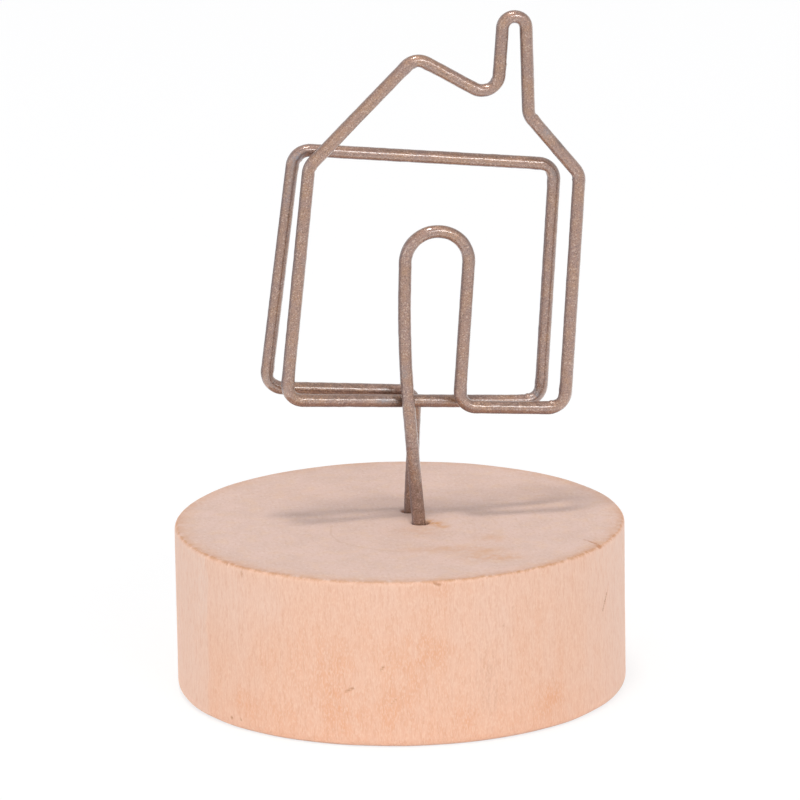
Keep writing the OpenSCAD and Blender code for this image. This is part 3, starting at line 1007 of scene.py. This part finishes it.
wireLook = {
    "bronze": colour(162, 128, 110),
    "warm": colour(169, 132, 105),
    "plum": colour(155, 126, 115),
    "dark": colour(98, 73, 60),
    "flake": colour(212, 188, 172),
    "steel": colour(140, 136, 140),
    "antiqueAndShade": colour(108, 86, 74),         # the coat in its darker places, partly patina and partly painted shade
    "paintedEdgeShade": colour(116, 107, 119),          # painted shade on the sides that face left and down
    "noises": {
        "tone": ((1, 1, 1), 0.6, 3.0, 0.55),
        "mottle": ((1, 1, 1), 3.6, 4.0, 0.65),
        "grit": ((1, 1, 1), 9.0, 2.0, 0.7),
        "peel": ((1, 1, 1), 1.8, 2.0, 0.6),
    },
    "flakeScale": 10.0,         # flakes a millimetre
    # for each layer of colour, the same values as for the wood's
    "warmTone": (0.38, 0.64),
    "bronzeTone": (0.35, 0.6),
    "patinaAndShade": (0.75, 0.35, 1.0, "dark"),
    "gritty": (0.48, 0.68, 0.7),
    "flaked": (0.8, 0.98),
    "flakeMost": 0.5,           # strength of the flakes, and how much of it a dark place takes away
    "flakeHidden": 0.4,
    "rubbed": (0.3, 0.6, 1.0, "worn"),
    "height": {"peel": 1.0, "mottle": 0.6, "grit": 0.3},
    "bump": (0.7, 0.00006),     # of the flakes
    "filmBump": (0.25, 0.00006),    # and of the clear film over them
    "roughness": (0.42, 0.64),  # of the flakes
    "fixed": {
        "Metallic": 0.8,
        "Specular Tint": (0.45, 0.45, 0.52, 1),     # what the flakes still mirror at a glancing angle
        "Coat Weight": 1.0,     # the clear film
        "Coat IOR": 1.75,
        "Coat Roughness": 0.14,
    },
}


def wireMaterial(look):
    material, tree, shader, place = newMaterial("bronzeCoat", look["fixed"])
    n = noises(tree, place, look["noises"])
    flakes = addNode(tree, "ShaderNodeTexVoronoi", {"Vector": place, "Scale": look["flakeScale"]})
    flakeLight = addNode(tree, "ShaderNodeSeparateColor", {"Color": flakes.outputs["Color"]}).outputs[0]

    coat = blend(tree, between(tree, n["tone"], *look["warmTone"]), look["plum"], look["warm"])
    coat = blend(tree, between(tree, n["mottle"], *look["bronzeTone"]), look["bronze"], coat)
    # the darker places: partly patina, partly painted shade and painted dark reflections
    coat = layer(tree, coat, look["antiqueAndShade"], n["mottle"], *look["patinaAndShade"])
    # painted shade: the coat darker and greyer on its left and lower sides
    coat = blend(tree, carried(tree, "paintedEdgeShade"), coat, look["paintedEdgeShade"])
    coat = layer(tree, coat, look["dark"], n["grit"], *look["gritty"])
    most = calc(tree, "MULTIPLY_ADD", carried(tree, "dark"), -look["flakeHidden"], look["flakeMost"])
    coat = layer(tree, coat, look["flake"], flakeLight, *look["flaked"], most)
    coat = layer(tree, coat, look["steel"], n["mottle"], *look["rubbed"])
    tree.links.new(coat, shader.inputs["Base Color"])

    height = weighed(tree, [(n[name], share) for name, share in look["height"].items()])
    raised(tree, shader, "Normal", height, *look["bump"])
    raised(tree, shader, "Coat Normal", height, *look["filmBump"])
    roughened(tree, shader, n["grit"], *look["roughness"])
    return material


glueLook = {
    "amber": colour(205, 150, 80),
    "cloud": colour(226, 190, 134),
    "noises": {"cloud": ((1, 1, 1), 1.6, 3.0, 0.55)},
    "clouded": (0.35, 0.7),
    "bump": (0.3, 0.0001),
    "fixed": {"Roughness": 0.22, "Coat Weight": 0.3},
}


def glueMaterial(look):
    material, tree, shader, place = newMaterial("setGlue", look["fixed"])
    cloud = noises(tree, place, look["noises"])["cloud"]
    glue = blend(tree, between(tree, cloud, *look["clouded"]), look["amber"], look["cloud"])
    tree.links.new(glue, shader.inputs["Base Color"])
    raised(tree, shader, "Normal", cloud, *look["bump"])
    return material


# The studio

studio = {
    "floorSize": 6.0,           # metres
    "floorGlow": 0.72,          # share of the floor that is plain white to the camera, the rest keeps shadows
    "floorWhite": 1.06,
    "floorPaint": (0.92, 0.92, 0.92, 1),
    "floorShine": 0.99,         # how bright the floor looks in the wire
    "nearShine": 0.7,           # how much brighter next to the stand
    "nearEnds": (0.05, 0.13),   # metres from the middle over which that fades out
    "shade": 0.55,              # how much darker behind the stand on the left
    "shadeX": (-0.02, -0.09),   # metres over which the shade begins, to the left
    "shadeY": (-0.03, 0.05),    # and to the back
    "gleam": 0.5,               # how much brighter behind the stand on the right, over the same distances
    "roomLow": (0.85, 0.86, 0.885, 1),      # the room's own light from the sides
    "roomHigh": (0.42, 0.44, 0.48, 1),      # and from above
    "backdropTop": 18.0,        # elevation up to which the room looks white
    "ceilingFrom": 38.0,        # elevation from which it looks dim
    "ceiling": (0.72, 0.69, 0.69, 1),
    # name, azimuth (0 in front, 90 on the right), elevation, distance, width, height, power, colour,
    # and whether it lights matt surfaces too or is only mirrored
    "lamps": [
        ("frontLamp", 14.0, 27.0, 1.2, 0.4, 0.2, 2.1, (1, 1, 1), True),
        ("leftLamp", -66.0, 14.0, 1.2, 0.8, 0.5, 1.0, (1, 1, 1), True),
        ("topLamp", -26.0, 79.0, 1.2, 0.2, 0.18, 5.4, (1, 0.95, 0.88), True),
        ("frontGlint", 28.0, 27.0, 1.2, 0.46, 0.2, 1.6, (1, 1, 1), False),
        ("leftGlint", -43.0, 25.0, 1.2, 0.4, 0.25, 0.35, (1, 1, 1), False),
    ],
}

# The picture's view: the middle of the base's top face lies aimRight and aimDown of the picture's middle
view = {
    "azimuth": -9.0,
    "pitch": 14.84,
    "roll": -0.862,
    "distance": 710.32,
    "aimRight": -0.039,
    "aimDown": 10.635,
    "focalPixels": 8000,
    "picturePixels": 800,
    "sensor": 36.0,
}


def makeCamera(v, height):
    # the rows right, down and forward of a camera that looks down by the pitch, rolled and then turned
    # by the azimuth, and its place, from which the base's top is distance away
    pitch, roll, azimuth = np.radians([v["pitch"], v["roll"], v["azimuth"]])
    rows = np.array([
        [1, 0, 0],
        [0, -np.sin(pitch), -np.cos(pitch)],
        [0, np.cos(pitch), -np.sin(pitch)],
    ])
    rolled = np.array([[np.cos(roll), -np.sin(roll), 0], [np.sin(roll), np.cos(roll), 0], [0, 0, 1]])
    cos, sin = np.cos(azimuth), np.sin(azimuth)
    axes = rolled @ rows @ np.array([[cos, sin, 0], [-sin, cos, 0], [0, 0, 1]])
    place = -axes.T @ np.array([v["aimRight"], v["aimDown"], v["distance"]]) + height * zAxis
    data = bpy.data.cameras.new("photoCamera")
    data.sensor_width = v["sensor"]
    data.lens = v["focalPixels"] / v["picturePixels"] * v["sensor"]
    data.clip_start, data.clip_end = 0.01, 50
    camera = bpy.data.objects.new("photoCamera", data)
    turn = np.eye(4)
    turn[:3, 0], turn[:3, 1], turn[:3, 2], turn[:3, 3] = axes[0], -axes[1], -axes[2], place * mm
    camera.matrix_world = Matrix(turn.tolist())
    bpy.context.scene.collection.objects.link(camera)
    bpy.context.scene.camera = camera


def softbox(name, azimuth, elevation, distance, width, height, power, tint, lightsMatt):
    # a flat lamp on a sphere round the stand, turned towards its middle
    a, e = np.radians([azimuth, elevation])
    aim = Vector((0, 0, 0.03))
    way = Vector((np.sin(a) * np.cos(e), -np.cos(a) * np.cos(e), np.sin(e)))
    data = bpy.data.lights.new(name, "AREA")
    data.shape = "RECTANGLE"
    data.size, data.size_y, data.energy = width, height, power
    data.color = tint
    lamp = bpy.data.objects.new(name, data)
    lamp.location = aim + distance * way
    lamp.rotation_euler = way.to_track_quat("Z", "Y").to_euler()
    lamp.visible_diffuse = lightsMatt
    bpy.context.scene.collection.objects.link(lamp)


def seenDirectly(tree):
    # 1 for camera, glossy and transmission rays, 0 for the rest
    path = addNode(tree, "ShaderNodeLightPath")
    direct = calc(tree, "ADD", path.outputs["Is Camera Ray"], path.outputs["Is Glossy Ray"])
    direct = calc(tree, "ADD", direct, path.outputs["Is Transmission Ray"])
    return calc(tree, "MINIMUM", direct, 1.0)


def makeWorld(look):
    world = bpy.data.worlds.new("studioWorld")
    bpy.context.scene.world = world
    world.use_nodes = True
    tree = world.node_tree
    tree.nodes.clear()
    direction = addNode(tree, "ShaderNodeTexCoord").outputs["Generated"]
    height = addNode(tree, "ShaderNodeSeparateXYZ", {0: direction}).outputs["Z"]
    low, high = np.sin(np.radians([look["backdropTop"], look["ceilingFrom"]]))
    room = blend(tree, between(tree, height, 0.0, 1.0), look["roomLow"], look["roomHigh"])
    backdrop = blend(tree, between(tree, height, low, high), (1, 1, 1, 1), look["ceiling"])
    soft = addNode(tree, "ShaderNodeBackground", {"Color": room})
    seen = addNode(tree, "ShaderNodeBackground", {"Color": backdrop})
    share = seenDirectly(tree)
    mixed = addNode(tree, "ShaderNodeMixShader", {0: share, 1: soft.outputs[0], 2: seen.outputs[0]})
    addNode(tree, "ShaderNodeOutputWorld", {"Surface": mixed.outputs[0]})


def makeFloor(look):
    # a square on the ground: painted, and part plain white where it is seen directly; in the wire it looks
    # brighter next to the stand, and darker behind it on the left
    half = look["floorSize"] / 2
    mesh = bpy.data.meshes.new("floor")
    corners = [(-half, -half, 0), (half, -half, 0), (half, half, 0), (-half, half, 0)]
    mesh.from_pydata(corners, [], [(0, 1, 2, 3)])
    floor = bpy.data.objects.new("floor", mesh)
    bpy.context.scene.collection.objects.link(floor)
    material = bpy.data.materials.new("paleFloor")
    material.use_nodes = True
    tree = material.node_tree
    tree.nodes.clear()
    paint = addNode(tree, "ShaderNodeBsdfDiffuse", {"Color": look["floorPaint"]})
    place = addNode(tree, "ShaderNodeTexCoord").outputs["Object"]
    across = addNode(tree, "ShaderNodeSeparateXYZ", {0: place})
    away = addNode(tree, "ShaderNodeVectorMath", {0: place}, operation="LENGTH").outputs["Value"]
    near = calc(tree, "MULTIPLY", between(tree, away, *reversed(look["nearEnds"])), look["nearShine"])
    behind = between(tree, across.outputs["Y"], *look["shadeY"])
    onLeft = calc(tree, "MULTIPLY", between(tree, across.outputs["X"], *look["shadeX"]), -look["shade"])
    onRight = between(tree, across.outputs["X"], -look["shadeX"][0], -look["shadeX"][1])
    uneven = calc(tree, "MULTIPLY_ADD", onRight, look["gleam"], onLeft)
    shine = calc(tree, "MULTIPLY_ADD", uneven, behind, near)
    shine = calc(tree, "ADD", shine, look["floorShine"] - look["floorWhite"])
    mirrored = addNode(tree, "ShaderNodeLightPath").outputs["Is Glossy Ray"]
    strength = calc(tree, "ADD", calc(tree, "MULTIPLY", shine, mirrored), look["floorWhite"])
    glow = addNode(tree, "ShaderNodeEmission", {"Color": (1, 1, 1, 1), "Strength": strength})
    share = calc(tree, "MULTIPLY", seenDirectly(tree), look["floorGlow"])
    mixed = addNode(tree, "ShaderNodeMixShader", {0: share, 1: paint.outputs[0], 2: glow.outputs[0]})
    addNode(tree, "ShaderNodeOutputMaterial", {"Surface": mixed.outputs[0]})
    mesh.materials.append(material)


makeCamera(view, baseSizes["height"])
makeWorld(studio)
makeFloor(studio)
for lampValues in studio["lamps"]:
    softbox(*lampValues)
bpy.context.scene.view_settings.view_transform = "Standard"
print("studio ready")

woodenBase(baseSizes).data.materials.append(woodMaterial(woodLook, baseSizes))
houseWire(wireSizes).data.materials.append(wireMaterial(wireLook))
glue = glueMaterial(glueLook)
for nodeName in ("front_glue", "rear_glue"):
    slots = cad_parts[nodeName].data.materials
    slots.clear()
    slots.append(glue)
print("materials ready")
